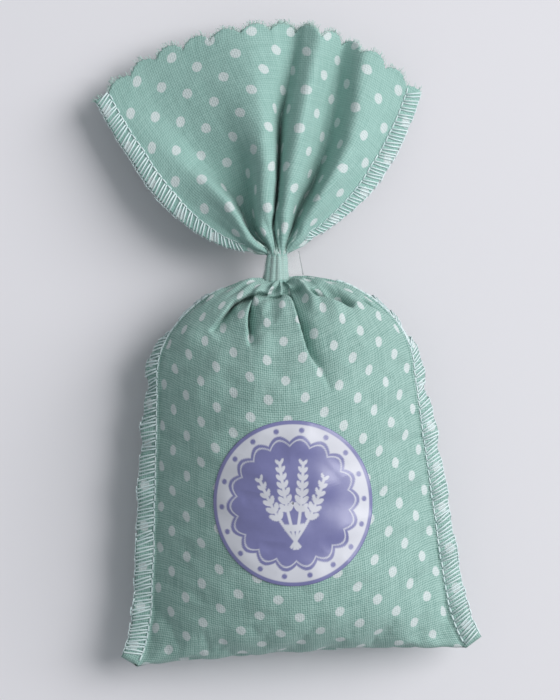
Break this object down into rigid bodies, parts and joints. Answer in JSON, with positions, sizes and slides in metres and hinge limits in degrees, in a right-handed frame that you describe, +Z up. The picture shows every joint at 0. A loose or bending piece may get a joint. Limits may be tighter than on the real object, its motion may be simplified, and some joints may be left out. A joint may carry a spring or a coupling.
{
  "type": "lavender sachet",
  "caption": "Dotted cotton pouch stuffed with dried lavender, lying on its back: overlocked side seams, neck gathered under clear tape, pinked ruffle above it and a round label in front.",
  "frame": {"origin": "middle of the flattened patch of the pouch's back that the sachet lies on, half way between the bottom fold and the gathered mouth", "axes": "+Z up, away from the surface and out of the pouch's front; +Y from the bottom fold to the ruffle; +X to the sachet's right as seen from above"},
  "size_m": [0.0836, 0.1495, 0.0309],
  "materials": {
    "cotton": "matt printed plain weave",
    "lavender": "dry, rough flower buds",
    "thread": "spun polyester sewing thread",
    "label": "semi-gloss coated paper",
    "tape": "clear glossy film"
  },
  "bodies": {
    "pouch": {"pouch_cloth": "cotton", "lavender_filling": "lavender", "label": "label", "pouch_left_needle_thread": "thread", "pouch_left_upper_looper_thread": "thread", "pouch_left_lower_looper_thread": "thread", "pouch_right_needle_thread": "thread", "pouch_right_upper_looper_thread": "thread", "pouch_right_lower_looper_thread": "thread"},
    "neck": {"neck_gather": "cotton", "neck_band": "tape"},
    "ruffle": {"ruffle_front": "cotton", "ruffle_back": "cotton", "ruffle_left_needle_thread": "thread", "ruffle_left_upper_looper_thread": "thread", "ruffle_left_lower_looper_thread": "thread", "ruffle_right_needle_thread": "thread", "ruffle_right_upper_looper_thread": "thread", "ruffle_right_lower_looper_thread": "thread"},
    "tab": {"band_tab": "tape"}
  },
  "joints": [
    {"name": "neck_sway", "type": "hinge", "parent": "pouch", "child": "neck", "pos_m": [0, 0.0441, 0.0145], "axis": [0, 0, 1], "range_deg": [-18, 18], "stiffness_Nm_per_rad": 0.002},
    {"name": "ruffle_fold", "type": "hinge", "parent": "neck", "child": "ruffle", "pos_m": [0, 0.0521, 0.0145], "axis": [1, 0, 0], "range_deg": [0, 90]},
    {"name": "tab_flex", "type": "hinge", "parent": "neck", "child": "tab", "pos_m": [0.0036, 0.0481, 0.0145], "axis": [0, 1, 0], "range_deg": [-35, 35], "stiffness_Nm_per_rad": 0.0001}
  ]
}
